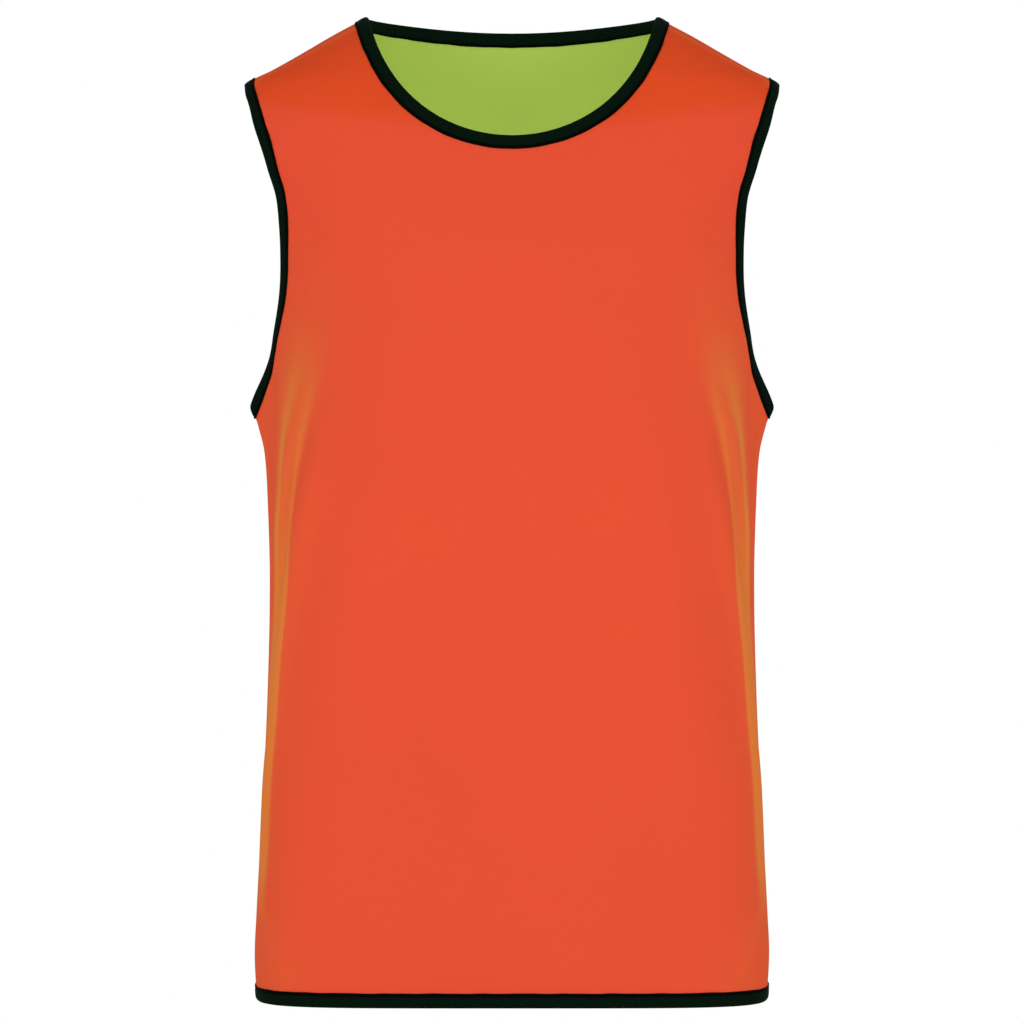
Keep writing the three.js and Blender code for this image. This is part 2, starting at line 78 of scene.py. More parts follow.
# The body's rings from the hem up: half width and depths, how square the ring is, and how far
# the underarm pulls the side seam out past it
Section = namedtuple("Section", "height half_width front back squareness flare")
SECTIONS = [
    Section(-704, 189, 119, 109, 5, 0),
    Section(-670, 190.8, 118.5, 107.5, 4.8, 0),
    Section(-643, 189.8, 118, 106, 4.5, 0),
    Section(-568, 186.2, 117, 102, 3.9, 0),
    Section(-493, 182.8, 117, 100, 3.4, 0),
    Section(-400, 180.3, 119, 103, 3, 1.5),
    Section(-340, 179, 121, 107, 2.75, 4.7),
    Section(-300, 178, 122, 110, 2.6, 8.5),
    Section(-280, 178, 122, 111, 2.55, 13.5),
    Section(-267, 178, 122, 112, 2.5, 17.5),
    Section(-254, 179, 121.5, 113, 2.4, 18.5),
    Section(-232, 180.5, 120, 114, 2.3, 16.5),
    Section(-190, 182.5, 115, 114, 2.25, 3.5),
    Section(-150, 185, 108, 112, 2.3, 0),
    Section(-114, 191.8, 100, 109, 2.3, 0),
    Section(-88, 201, 94, 105, 2.25, 0),
    Section(-58, 209, 87, 99, 2.2, 0),
    Section(-37, 206.5, 81, 93, 2.2, 0),
    Section(-25, 199.5, 77, 88, 2.2, 0),
    Section(-14, 179, 73, 83, 2.2, 0),
    Section(-2, 158, 67, 77, 2.2, 0),
    Section(12, 134, 59, 70, 2.2, 0),
    Section(25, 109.5, 50, 64, 2.2, 0),
]

# Folds, mirrored left and right. Angles run from the middle of the panel to its side seam, bow is
# the sideways curve at half length, and a positive rise is a ridge.
Fold = namedtuple("Fold", "from_angle from_height to_angle to_height bow half_width rise")
FOLDS = {
    "front": [
        Fold(44, -250, 64, -640, 9, 13, 4),
        Fold(54, -240, 67, -400, 4, 10, 3.2),
        Fold(49, -262, 63, -430, 6, 9, -2.6),
        Fold(64, -46, 40, -96, 0, 17, -2.2),
        Fold(66, -96, 42, -150, 0, 18, -2),
        Fold(33, -320, 41, -560, 2, 20, 1.8),
    ],
    "back": [
        Fold(46, -246, 62, -600, 7, 14, 4.2),
        Fold(57, -236, 69, -372, 3, 10, 3),
        Fold(52, -256, 64, -410, 5, 9, -2.4),
        Fold(64, -62, 36, -124, 0, 20, -2.4),
        Fold(22, -300, 27, -560, 5, 22, 2.4),
    ],
}
FOLD_RADIUS = 180
FOLD_RUN_IN = 0.32
SEAM_CALM = 16

# Painted light beside the side seam, from the hem up. Painted golden sheen lies there: two fine lines, each
# with its distance from the bib's middle, its width and its share, and the band outside the inner one. A
# red strip of painted shade lies along the silhouette and keeps the band out. A soft share of painted
# golden sheen spreads from the seam past the inner line and fades up the armhole. On the back the tones lie
# a little lower, by another amount on each side.
SideTone = namedtuple(
    "SideTone", "height inner inner_width inner_share outer outer_width outer_share strip strip_share band")
PAINTED_SIDE_LIGHT = [
    SideTone(-704, 162, 10, 0, 187, 2, 0, 190, 0, 0),
    SideTone(-675, 168, 9, 0, 187, 2, 0, 189.5, 0.7, 0),
    SideTone(-650, 178, 6, 0, 186, 2, 0, 189, 0.6, 0.05),
    SideTone(-632, 183.8, 3, 0.1, 185, 2, 0, 189, 0, 0.35),
    SideTone(-602, 181.3, 2.5, 0.25, 184, 2, 0, 187, 0, 0.8),
    SideTone(-544, 178.6, 2.2, 0.3, 182, 2, 0, 184, 0, 0.95),
    SideTone(-499, 174.6, 1.8, 0.4, 178, 2, 0, 181, 0, 1),
    SideTone(-449, 170.4, 1.3, 0.4, 174.4, 1.5, 0, 177.5, 0.5, 0.95),
    SideTone(-405, 165.8, 1.2, 0.35, 174, 1.5, 0.2, 176, 1, 0.75),
    SideTone(-365, 163.6, 1.2, 0.35, 174, 1.4, 0.6, 176.2, 1, 0.5),
    SideTone(-336, 161.2, 1.4, 0.4, 172.4, 1.4, 0.75, 177.5, 0.8, 0.32),
    SideTone(-300, 156.5, 2.6, 0.42, 170.2, 2, 0.8, 180.5, 0.5, 0.2),
    SideTone(-262, 149, 5, 0.3, 163.6, 5, 0.6, 186, 0.2, 0.1),
    SideTone(-235, 145, 8, 0.1, 158, 8, 0.28, 190, 0, 0.04),
    SideTone(-205, 141, 9, 0, 154, 8, 0, 190, 0, 0),
]
BAND_FADE = (30, 52)
BAND_RISE = (-1.6, 0.6)
STRIP_RISE = (-0.8, 0.6)
STRIP_SHADE = 0.7
SOFT_SHARE = 0.15
SOFT_REACH = 16
SOFT_HEIGHTS = (-110, -230)
BACK_TONE_SHIFT = 15
TONE_UNEVENNESS = 7

# Painted shade makes the shoulder deeper in colour above a sloping line, where it faces up, but for a line
# of painted golden sheen and a bright strip without painted shade beside its seam. Each end of the sloping
# line is a distance from the bib's middle and a height.
SHADE_FROM = (82, -58)
SHADE_TO = (187, -44)
SHADE_SOFTNESS = 11
BRIGHT_STRIP = 12
SHOULDER_LINE_DEPTH = 26
SHOULDER_LINE_WIDTH = 3
SHOULDER_LINE_SHARE = 0.32

# The cloth's two faces and the middle between them, as distances off the outer face, outwards
OUTER_FACE = 0
INNER_FACE = -2.3
MID_CLOTH = (OUTER_FACE + INNER_FACE) / 2
SEAM_WIDTH = 3

# Binding and stitches: how much cloth the tape covers, and how far in from its sewn edge the
# stitches lie and how far off the cloth
BINDING_COVER = 9.2
CORNER_SMOOTHING = 5
STATIONS_PER_STITCH = 4
STITCH_INSET = 2.6
STITCH_LIFT = 0.85
THREAD_SIDES = 6
THREAD_RINGS = 4
WALK_ROUNDS = 6
EDGE_SAMPLES = 900

# Uneven puckers along an edge are sums of waves: length, share of the depth, and turn at the start.
# The tape's sewn edge also slides a little across.
Wave = namedtuple("Wave", "length share turn")
CLOTH_WAVES = [Wave(3.1, 1, 0), Wave(4.7, 0.7, 1.3), Wave(7.9, 0.5, 0.4)]
CLOTH_WAVE_RISE = (4, 12)
CLOTH_WAVE_REACH = 26
TAPE_WAVES = [Wave(5.3, 1, 0), Wave(2.9, 0.6, 2), Wave(11.7, 0.4, 1)]
TAPE_UNEVENNESS = 0.25
SEWN_EDGE_SLIDE = 0.12
SEWN_EDGE_FROM = 7.6

# Half of the binding's section, from its sewn edge to its fold: distance in from the cut edge, lift
# off the cloth, and how much of the pucker between stitches that row takes
TapePoint = namedtuple("TapePoint", "inward lift pucker")
TAPE_PROFILE = [
    TapePoint(9.15, 0.08, 0.6),
    TapePoint(9.2, 0.5, 1),
    TapePoint(8.8, 0.85, 0.8),
    TapePoint(8.0, 1.0, 0.4),
    TapePoint(7.3, 0.9, 0.5),
    TapePoint(6.6, 0.62, 1),
    TapePoint(5.9, 0.92, 0.5),
    TapePoint(4.9, 1.12, 0.3),
    TapePoint(3.2, 1.2, 0.1),
    TapePoint(1.5, 1.16, 0),
    TapePoint(0.3, 0.98, 0),
    TapePoint(-0.8, 0.5, 0),
    TapePoint(-1.5, -0.3, 0),
]
TAPE_NOSE = -1.7
TAPE_LINING = TapePoint(0.2, 0.08, 0)
TAPE_LINING_FOLD = -0.6

# How finely a panel is divided
STRAP_ROWS = 40
ARMHOLE_ROWS = 72
BODY_ROWS = 132
BODY_ROW_GROWTH = 1.25
STRAP_COLUMNS = 24
NECK_HALF_COLUMNS = 24
BELOW_NECK_ANGLE = 38
BELOW_STRAP_ANGLE = 64
PATTERN_HEIGHT = 200
ARC_SAMPLES = 24
SAME_ON_PATTERN = 1e-5
SAME_PLACE = 1e-6

# Finishes and painted shade, with lengths in metres: the knit's columns and rows, the fine creases that run
# out of a sewn edge, the painted shade along a seam's line, and the tape's margin of painted shade in the
# groove beside its stitches in millimetres
WALE = 0.0008
COURSE = 0.0007
LOOP_SLANT = 1.4
LOOP_SHARE = 0.25
CREASE_PITCH = 0.0064
CREASE_REACH = 0.006
SEAM_LINE = 0.0012
SEAM_SHADE = 0.65
CLOUD_SCALE = 9
MOTTLE_SCALE = 420
TAPE_WEAVE_SCALE = 900
MARGIN_RISE = (-0.5, 0.3)
MARGIN_SHADE = 0.3

# The studio, in metres. Each lamp aims level at the bib's middle line, at the power of its setting.
# The camera stands level with the bib's middle.
Lamp = namedtuple("Lamp", "name place size power")
LAMPS = [
    Lamp("key", (-2.1, -2.6, -0.45), 2.0, "key_power"),
    Lamp("key", (2.1, -2.6, -0.45), 2.0, "key_power"),
    Lamp("fill", (0, 3.2, -0.2), 2.6, "fill_power"),
    Lamp("inside", (0, -0.05, -0.11), 0.12, "inside_power"),
]
FLOOR_RADIUS = 1.9
FLOOR_SIDES = 128
CAMERA_DISTANCE = 3.45
CAMERA_HEIGHT = -0.345
CAMERA_LENS = 161.7
SENSOR_WIDTH = 36


# The form of the worn cloth
def smoothstep(value, low, high):
    t = np.clip((value - low) / (high - low), 0, 1)
    return t * t * (3 - 2 * t)


def read_column(name, height, rows=SECTIONS):
    """One column of a table at any height, as a smooth curve that never overshoots a row."""
    heights = np.array([row.height for row in rows], float)
    values = np.array([getattr(row, name) for row in rows], float)
    slopes = np.diff(values) / np.diff(heights)
    product = slopes[:-1] * slopes[1:]
    total = np.where(product > 0, slopes[:-1] + slopes[1:], 1)
    middle = np.where(product > 0, 2 * product / total, 0)
    tangents = np.concatenate([slopes[:1], middle, slopes[-1:]])
    i = np.clip(np.searchsorted(heights, height) - 1, 0, len(rows) - 2)
    span = heights[i + 1] - heights[i]
    t = np.clip((height - heights[i]) / span, 0, 1)
    start = (1 + 2 * t) * (1 - t) ** 2 * values[i] + t * (1 - t) ** 2 * span * tangents[i]
    end = t * t * (3 - 2 * t) * values[i + 1] + t * t * (t - 1) * span * tangents[i + 1]
    return start + end + np.maximum(height - heights[-1], 0) * slopes[-1]


def ring_point(ring_angle, height):
    """A point of the smooth form. The ring angle is 0 at the front middle and grows towards +X."""
    across, along = np.sin(ring_angle), np.cos(ring_angle)
    power = read_column("squareness", height)
    reach = (np.abs(across) ** power + np.abs(along) ** power) ** (-1 / power)
    deepest = np.where(along >= 0, read_column("front", height), read_column("back", height))
    depth = deepest * reach * along
    from_seam = np.hypot(depth, FLARE_SOFTNESS) - FLARE_SOFTNESS
    flare = read_column("flare", height) * np.maximum(0, 1 - from_seam / FLARE_RUN) ** 2
    x = read_column("half_width", height) * reach * across + np.sign(across) * flare
    return np.stack([x, -depth, height], axis=-1)


def normal_of(surface, ring_angle, height):
    around = surface(ring_angle + STEP, height) - surface(ring_angle - STEP, height)
    up = surface(ring_angle, height + STEP) - surface(ring_angle, height - STEP)
    normal = np.cross(around, up)
    return normal / np.linalg.norm(normal, axis=-1, keepdims=True)


def fold_lift(ring_angle, height):
    """How far the folds lift the cloth off the smooth form."""
    angle = np.arcsin(np.minimum(1, np.abs(np.sin(ring_angle))))
    calm = smoothstep(FOLD_RADIUS * (RIGHT_ANGLE - angle), 0, SEAM_CALM)
    lift = np.zeros_like(height)
    for face, side in (("front", np.cos(ring_angle) >= 0), ("back", np.cos(ring_angle) < 0)):
        for fold in FOLDS[face]:
            run_across = FOLD_RADIUS * math.radians(fold.to_angle - fold.from_angle)
            run_down = fold.to_height - fold.from_height
            length = math.hypot(run_across, run_down)
            off_across = FOLD_RADIUS * (angle - math.radians(fold.from_angle))
            off_down = height - fold.from_height
            t = (off_across * run_across + off_down * run_down) / length ** 2
            sideways = (off_down * run_across - off_across * run_down) / length
            sideways = sideways - fold.bow * 4 * t * (1 - t)
            fade = smoothstep(np.minimum(t, 1 - t), 0, FOLD_RUN_IN)
            lift += fold.rise * side * fade * np.exp(-((sideways / fold.half_width) ** 2))
    return lift * calm


def cloth_point(ring_angle, height):
    lift = fold_lift(ring_angle, height)[..., None]
    return ring_point(ring_angle, height) + normal_of(ring_point, ring_angle, height) * lift


# Places on a panel are rows of an angle from the panel's middle and a height
def ring_angle_of(face, angle):
    return angle if face == "front" else math.pi - angle


def armhole_edge(face, t):
    """The armhole's cut edge on one panel, from the shoulder tip at 0 to the underarm at 1."""
    half = (SHOULDER_TIP_HEIGHT - UNDERARM_HEIGHT) / 2
    up, out = np.cos(math.pi * t), np.abs(np.sin(math.pi * t))
    sharpened = smoothstep(t, *ROUNDNESS_TURN)
    roundness = SHOULDER_ROUNDNESS + (UNDERARM_ROUNDNESS - SHOULDER_ROUNDNESS) * sharpened
    height = ARMHOLE_MIDDLE + half * np.sign(up) * np.abs(up) ** (2 / roundness)
    depth = ARMHOLE_HALF_DEPTH[face] * out ** (2 / roundness)
    power = read_column("squareness", height)
    share = depth / read_column(face, height)
    return np.stack([np.arctan2((1 - share ** power) ** (1 / power), share), height], axis=-1)


def neck_edge(face, t):
    """The neck's cut edge on one panel, from its middle at 0 to the shoulder seam at 1."""
    if face == "back":
        angle = RIGHT_ANGLE * t
        drop = BACK_NECK_DROP * np.cos(angle) ** BACK_NECK_CURVE
        return np.stack([angle, NECK_POINT_HEIGHT - drop], axis=-1)
    top = SECTIONS[-1]
    share = 1 - (1 - t) ** top.squareness
    turn = RIGHT_ANGLE * share
    height = NECK_POINT_HEIGHT - FRONT_NECK_DROP * np.cos(turn)
    reach = NECK_HALF_WIDTH + (top.half_width - NECK_FLARE - NECK_HALF_WIDTH) * share ** NECK_FLARE_POWER
    x = reach * np.sin(turn) + NECK_FLARE * share ** NECK_FLARE_POWER
    power = read_column("squareness", height)
    across = np.minimum(1, x / read_column("half_width", height))
    return np.stack([np.arctan2(across, (1 - across ** power) ** (1 / power)), height], axis=-1)


def run_along(points):
    """The length from the first point to each, along the line."""
    strides = np.linalg.norm(np.diff(points, axis=0), axis=-1)
    return np.concatenate([[0], np.cumsum(strides)])


def even_places(face, edge, count):
    t = np.linspace(0, 1, EDGE_SAMPLES)
    places = edge(face, t)
    runs = run_along(cloth_point(ring_angle_of(face, places[:, 0]), places[:, 1]))
    return edge(face, np.interp(np.linspace(0, runs[-1], count + 1), runs, t))


def line(start, end, shares):
    return start + (end - start) * np.asarray(shares)[:, None]


def steps(count):
    return np.linspace(0, 1, count + 1)


def mirrored(places):
    return places * np.array([-1, 1])


def both_halves(places):
    return np.concatenate([mirrored(places[1:])[::-1], places])


def fill_patch(top, bottom, left, right):
    """Rows of places between four bounding lines."""
    u = steps(len(top) - 1)[None, :, None]
    v = steps(len(left) - 1)[:, None, None]
    ends = (1 - v) * top[None] + v * bottom[None]
    sides = (1 - u) * left[:, None] + u * right[:, None]
    corners = (1 - v) * ((1 - u) * top[0] + u * top[-1]) + v * ((1 - u) * bottom[0] + u * bottom[-1])
    return ends + sides - corners


def panel_patches(face):
    """The panel's body and two straps, each as rows of places."""
    armhole = even_places(face, armhole_edge, ARMHOLE_ROWS)
    neck = even_places(face, neck_edge, NECK_HALF_COLUMNS + STRAP_ROWS)
    strap_top = line(neck[-1], armhole[0], steps(STRAP_COLUMNS))
    strap_foot = line(neck[NECK_HALF_COLUMNS], armhole[STRAP_ROWS], steps(STRAP_COLUMNS))
    strap = fill_patch(strap_top, strap_foot, neck[NECK_HALF_COLUMNS:][::-1], armhole[:STRAP_ROWS + 1])
    half_top = np.concatenate([neck[:NECK_HALF_COLUMNS], strap_foot, armhole[STRAP_ROWS + 1:]])
    hem_angles = np.concatenate([
        np.linspace(0, BELOW_NECK_ANGLE, NECK_HALF_COLUMNS + 1)[:-1],
        np.linspace(BELOW_NECK_ANGLE, BELOW_STRAP_ANGLE, STRAP_COLUMNS + 1)[:-1],
        np.linspace(BELOW_STRAP_ANGLE, 90, ARMHOLE_ROWS - STRAP_ROWS + 1),
    ])
    half_hem = np.stack([np.radians(hem_angles), np.full(len(hem_angles), HEM_HEIGHT)], axis=-1)
    seam = line(armhole[-1], half_hem[-1], steps(BODY_ROWS) ** BODY_ROW_GROWTH)
    body = fill_patch(both_halves(half_top), both_halves(half_hem), mirrored(seam), seam)
    return [body, strap, mirrored(strap)[:, ::-1]]


# The four bound edges, as closed lines of ring angles and heights
def neck_line():
    t = np.linspace(0, 1, EDGE_SAMPLES)
    front, back = neck_edge("front", t), neck_edge("back", t)
    right_half = np.concatenate([front[:-1], np.stack([math.pi - back[:, 0], back[:, 1]], axis=-1)[::-1]])
    left_half = np.stack([2 * math.pi - right_half[:, 0], right_half[:, 1]], axis=-1)[::-1]
    return np.concatenate([right_half[:-1], left_half])


def armhole_line(side):
    t = np.linspace(0, 1, EDGE_SAMPLES)
    front, back = armhole_edge("front", t), armhole_edge("back", t)
    around = np.concatenate([front[:-1], np.stack([math.pi - back[:, 0], back[:, 1]], axis=-1)[::-1]])
    return around * np.array([side, 1])


def hem_line():
    angles = np.linspace(0, 2 * math.pi, 4 * EDGE_SAMPLES)
    return np.stack([angles, np.full(len(angles), HEM_HEIGHT)], axis=-1)


# Each line with a point on its hollow side, and the shares of its length at which the middles of
# its front and back lie
BoundEdge = namedtuple("BoundEdge", "line hollow front back")
BOUND_EDGES = {
    "neck": BoundEdge(neck_line(), (0, 0, NECK_POINT_HEIGHT), 0, 0.5),
    "armhole_left": BoundEdge(armhole_line(1), (ARMHOLE_HOLLOW, 0, ARMHOLE_MIDDLE), 0.25, 0.75),
    "armhole_right": BoundEdge(armhole_line(-1), (-ARMHOLE_HOLLOW, 0, ARMHOLE_MIDDLE), 0.25, 0.75),
    "hem": BoundEdge(hem_line(), (0, 0, 10 * HEM_HEIGHT), 0, 0.5),
}


def even_stations(places, count):
    """The closed line's places at even steps of length, without the repeated last one."""
    runs = run_along(cloth_point(places[:, 0], places[:, 1]))
    wanted = np.linspace(0, runs[-1], count + 1)[:-1]
    return np.stack([np.interp(wanted, runs, places[:, k]) for k in (0, 1)], axis=-1)


def unit(vectors):
    return vectors / np.linalg.norm(vectors, axis=-1, keepdims=True)


def dot(first, second):
    return (first * second).sum(-1)


def walk(places, targets):
    """The places on the cloth nearest to points close to known places."""
    angle, height = places[:, 0].copy(), places[:, 1].copy()
    for _ in range(WALK_ROUNDS):
        here = cloth_point(angle, height)
        miss = targets - here
        per_angle = (cloth_point(angle + STEP, height) - here) / STEP
        per_height = (cloth_point(angle, height + STEP) - here) / STEP
        angle_square, height_square = dot(per_angle, per_angle), dot(per_height, per_height)
        shared = dot(per_angle, per_height)
        angle_miss, height_miss = dot(per_angle, miss), dot(per_height, miss)
        scale = angle_square * height_square - shared * shared
        angle += (angle_miss * height_square - height_miss * shared) / scale
        height += (height_miss * angle_square - angle_miss * shared) / scale
    return angle, height


def binding_stations(edge, pitch):
    """The cut edge and the covered line of a bound edge, with normals, at a few stations a stitch."""
    length = run_along(cloth_point(edge.line[:, 0], edge.line[:, 1]))[-1]
    count = STATIONS_PER_STITCH * round(length / pitch)
    places = even_stations(edge.line, count)
    cut = cloth_point(places[:, 0], places[:, 1])
    normal = normal_of(cloth_point, places[:, 0], places[:, 1])
    inward = np.cross(normal, np.roll(cut, -1, axis=0) - np.roll(cut, 1, axis=0))
    away = dot(inward, cut - np.array(edge.hollow))[:, None]
    inward = unit(inward) * np.where(away < 0, -1, 1)
    inward = sum(np.roll(inward, k, axis=0) for k in range(-CORNER_SMOOTHING, CORNER_SMOOTHING + 1))
    angle, height = walk(places, cut + unit(inward) * BINDING_COVER)
    cover, cover_normal = cloth_point(angle, height), normal_of(cloth_point, angle, height)
    return {
        "cut": cut, "cover": cover, "normal": normal, "cover_normal": cover_normal,
        "run": np.arange(count) * length / count, "pitch": STATIONS_PER_STITCH * length / count,
        "length": length,
    }


# Meshes
def link(name, mesh, material):
    piece = bpy.data.objects.new(name, mesh)
    bpy.context.scene.collection.objects.link(piece)
    mesh.materials.append(material)
    mesh.shade_smooth()
    return piece


def set_attribute(mesh, name, values):
    attribute = mesh.attributes.new(name, "FLOAT", "POINT")
    attribute.data.foreach_set("value", np.asarray(values, np.float32).ravel())


def set_uv(mesh, values):
    """A UV map in metres, from one pair of values a vertex."""
    corners = np.empty(len(mesh.loops), np.int32)
    mesh.loops.foreach_get("vertex_index", corners)
    layer = mesh.uv_layers.new(name="cloth")
    layer.data.foreach_set("uv", np.asarray(values, np.float32)[corners].ravel())


def add_grid(bm, rows, layer=None, column_values=None):
    """Adds a grid whose vertices stand at the rows' points, with one value a column in a layer."""
    row_count, column_count = rows.shape[0] - 1, rows.shape[1] - 1
    made = bmesh.ops.create_grid(bm, x_segments=column_count, y_segments=row_count, size=0.5)
    for vert in made["verts"]:
        i = round((0.5 - vert.co.y) * row_count)
        j = round((vert.co.x + 0.5) * column_count)
        vert.co = rows[i, j]
        if layer is not None:
            vert[layer] = column_values[j]


def pattern_mesh(face):
    """The panel's flat pattern: x is the angle from its middle, and y the height in 200 mm."""
    bm = bmesh.new()
    for rows in panel_patches(face):
        flat = np.stack([rows[..., 0], rows[..., 1] / PATTERN_HEIGHT, np.zeros(rows.shape[:2])], axis=-1)
        add_grid(bm, flat)
    bmesh.ops.remove_doubles(bm, verts=bm.verts[:], dist=SAME_ON_PATTERN)
    if face == "back":
        bmesh.ops.reverse_faces(bm, faces=bm.faces[:])
    return bm


def arc_from_middle(face, angle, height):
    """The length along the cloth from the panel's middle, which the knit's columns follow."""
    angles = angle[None] * steps(ARC_SAMPLES)[:, None]
    points = ring_point(ring_angle_of(face, angles), np.broadcast_to(height, angles.shape))
    return np.sign(angle) * np.linalg.norm(np.diff(points, axis=0), axis=-1).sum(0)


def edge_distances(face, points):
    """For each point, the distance to the nearest bound edge and where along it that is."""
    edges, runs = [], []
    for edge in BOUND_EDGES.values():
        line_points = cloth_point(edge.line[:, 0], edge.line[:, 1])
        run = run_along(line_points)
        start = (getattr(edge, face) - 0.5) * run[-1]
        edges.append(line_points)
        runs.append((run - start) % run[-1] + start)
    runs, every = np.concatenate(runs), np.concatenate(edges)
    tree = kdtree.KDTree(len(every))
    for i, point in enumerate(every):
        tree.insert(point, i)
    tree.balance()
    found = [tree.find(point) for point in points]
    return np.array([f[2] for f in found]), runs[[f[1] for f in found]]


def add_waves(waves, run):
    return sum(wave.share * np.sin(run / wave.length + wave.turn) for wave in waves)


def ripple(run, gap, depth):
    """Soft puckers that the sewn binding draws into the cloth beside it."""
    reach = smoothstep(gap, *CLOTH_WAVE_RISE) * np.exp(-((gap / CLOTH_WAVE_REACH) ** 2))
    return depth * add_waves(CLOTH_WAVES, run) * reach


def painted_light_masks(face, points):
    """Painted light on the cloth: painted golden sheen beside the side seam, and painted shade on the
    shoulders and along the silhouette.
    """
    out, depth, height = np.abs(points[:, 0]), np.abs(points[:, 1]), points[:, 2]
    level = height
    if face == "back":
        level = height + BACK_TONE_SHIFT + TONE_UNEVENNESS * np.sign(points[:, 0])
    level = np.minimum(level, PAINTED_SIDE_LIGHT[-1].height)
    tone = {name: read_column(name, level, PAINTED_SIDE_LIGHT) for name in SideTone._fields}
    # The strip along the silhouette keeps the painted sheen band out, and its line is painted shade.
    strip = tone["strip_share"] * smoothstep(out - tone["strip"], *STRIP_RISE)
    strip_line = tone["strip_share"] * np.exp(-(out - tone["strip"]) ** 2)
    # Painted shade on the shoulder above the sloping line, where the slope faces up.
    slope = (SHADE_TO[1] - SHADE_FROM[1]) / (SHADE_TO[0] - SHADE_FROM[0])
    shade_from = SHADE_FROM[1] + slope * (out - SHADE_FROM[0])
    shoulder_shade = smoothstep(height, shade_from - SHADE_SOFTNESS, shade_from + SHADE_SOFTNESS)
    # A line of painted golden sheen beside the shoulder seam.
    beside_seam = np.exp(-((depth - SHOULDER_LINE_DEPTH) / SHOULDER_LINE_WIDTH) ** 2)
    # Soft painted golden sheen beside the side seam, fading up the armhole.
    soft = SOFT_SHARE * smoothstep(height, *SOFT_HEIGHTS)
    soft = soft * np.exp(-np.maximum(tone["inner"] - out, 0) / SOFT_REACH)
    deepness = shoulder_shade * smoothstep(depth, BRIGHT_STRIP, SHOULDER_LINE_DEPTH) + STRIP_SHADE * strip_line
    return {
        "inner_line": (out - tone["inner"]) / tone["inner_width"],
        "inner_share": tone["inner_share"],
        "outer_line": (out - tone["outer"]) / tone["outer_width"],
        "outer_share": tone["outer_share"],
        "band_share": tone["band"] * (1 - strip) * smoothstep(depth, *BAND_FADE),
        "soft_share": SHOULDER_LINE_SHARE * shoulder_shade * beside_seam + soft,
        "deepness": np.clip(deepness, 0, 1),
    }


def cloth_panel(name, face, offset, material, cloth):
    """One ply of the front or back: a flat pattern laid on the worn form, with its thickness."""
    bm = pattern_mesh(face)
    pattern = np.array([vert.co for vert in bm.verts])
    angle, height = pattern[:, 0], pattern[:, 1] * PATTERN_HEIGHT
    ring_angle = ring_angle_of(face, angle)
    points = cloth_point(ring_angle, height)
    normals = normal_of(cloth_point, ring_angle, height)
    gap, run = edge_distances(face, points)
    from_seam = np.abs(points[:, 1])
    lift = offset + ripple(run, gap, cloth.pucker_depth / MM)
    lift = lift - cloth.seam_dip / MM * np.exp(-((from_seam / SEAM_WIDTH) ** 2))
    shaped = (points + normals * lift[:, None]) * MM
    for vert, place in zip(bm.verts, shaped):
        vert.co = place
    mesh = bpy.data.meshes.new(name)
    bm.to_mesh(mesh)
    bm.free()
    for label, values in painted_light_masks(face, points).items():
        set_attribute(mesh, label, values)
    set_attribute(mesh, "edge_gap", gap * MM)
    set_attribute(mesh, "edge_run", run * MM)
    set_attribute(mesh, "seam_gap", from_seam * MM)
    set_uv(mesh, np.stack([arc_from_middle(face, angle, height), height], axis=-1) * MM)
    piece = link(name, mesh, material)
    shell = piece.modifiers.new("Ply", "SOLIDIFY")
    shell.thickness = cloth.ply_thickness
    shell.offset = -1 if offset == OUTER_FACE else 1
    return piece


def on_inner_face(point):
    return point._replace(lift=2 * MID_CLOTH - point.lift, pucker=-point.pucker)


def tape_section():
    """The binding's whole section: the outer half, the fold, the inner half and the lining back."""
    inside = [on_inner_face(point) for point in reversed(TAPE_PROFILE)]
    lining = [on_inner_face(TAPE_LINING), TapePoint(TAPE_LINING_FOLD, MID_CLOTH, 0), TAPE_LINING]
    return TAPE_PROFILE + [TapePoint(TAPE_NOSE, MID_CLOTH, 0)] + inside + lining


def across_tape(stations, inward):
    """The cloth's points and normals under a line of the tape, at a distance in from the cut edge."""
    share = inward / BINDING_COVER
    points = stations["cut"] * (1 - share) + stations["cover"] * share
    return points, unit(stations["normal"] * (1 - share) + stations["cover_normal"] * share)


def binding_mesh(name, stations, binding, material):
    """A strip of tape folded over the edge, with the small puckers between its stitches."""
    section = tape_section()
    run, pitch = stations["run"], stations["pitch"]
    between = 0.5 - 0.5 * np.cos(2 * math.pi * (run / pitch))
    uneven = add_waves(TAPE_WAVES, run)
    rise = binding.pucker / MM * (between + TAPE_UNEVENNESS * uneven)
    inward = unit(stations["cover"] - stations["cut"])
    columns = []
    for point in section:
        base, normal = across_tape(stations, max(point.inward, 0))
        raised = point.lift + point.pucker * rise
        sewn = abs(point.pucker) if point.inward > SEWN_EDGE_FROM else 0
        moved = min(point.inward, 0) + SEWN_EDGE_SLIDE * sewn * uneven
        columns.append(base + inward * moved[:, None] + normal * raised[:, None])
    columns.append(columns[0])
    ring = np.stack(columns, axis=1)
    ring = np.concatenate([ring, ring[:1]]) * MM
    bm = bmesh.new()
    inward_layer = bm.verts.layers.float.new("inward")
    add_grid(bm, ring, inward_layer, [point.inward * MM for point in section + section[:1]])
    bmesh.ops.remove_doubles(bm, verts=bm.verts[:], dist=SAME_PLACE)
    bmesh.ops.recalc_face_normals(bm, faces=bm.faces[:])
    mesh = bpy.data.meshes.new(name)
    bm.to_mesh(mesh)
    bm.free()
    return link(name, mesh, material)


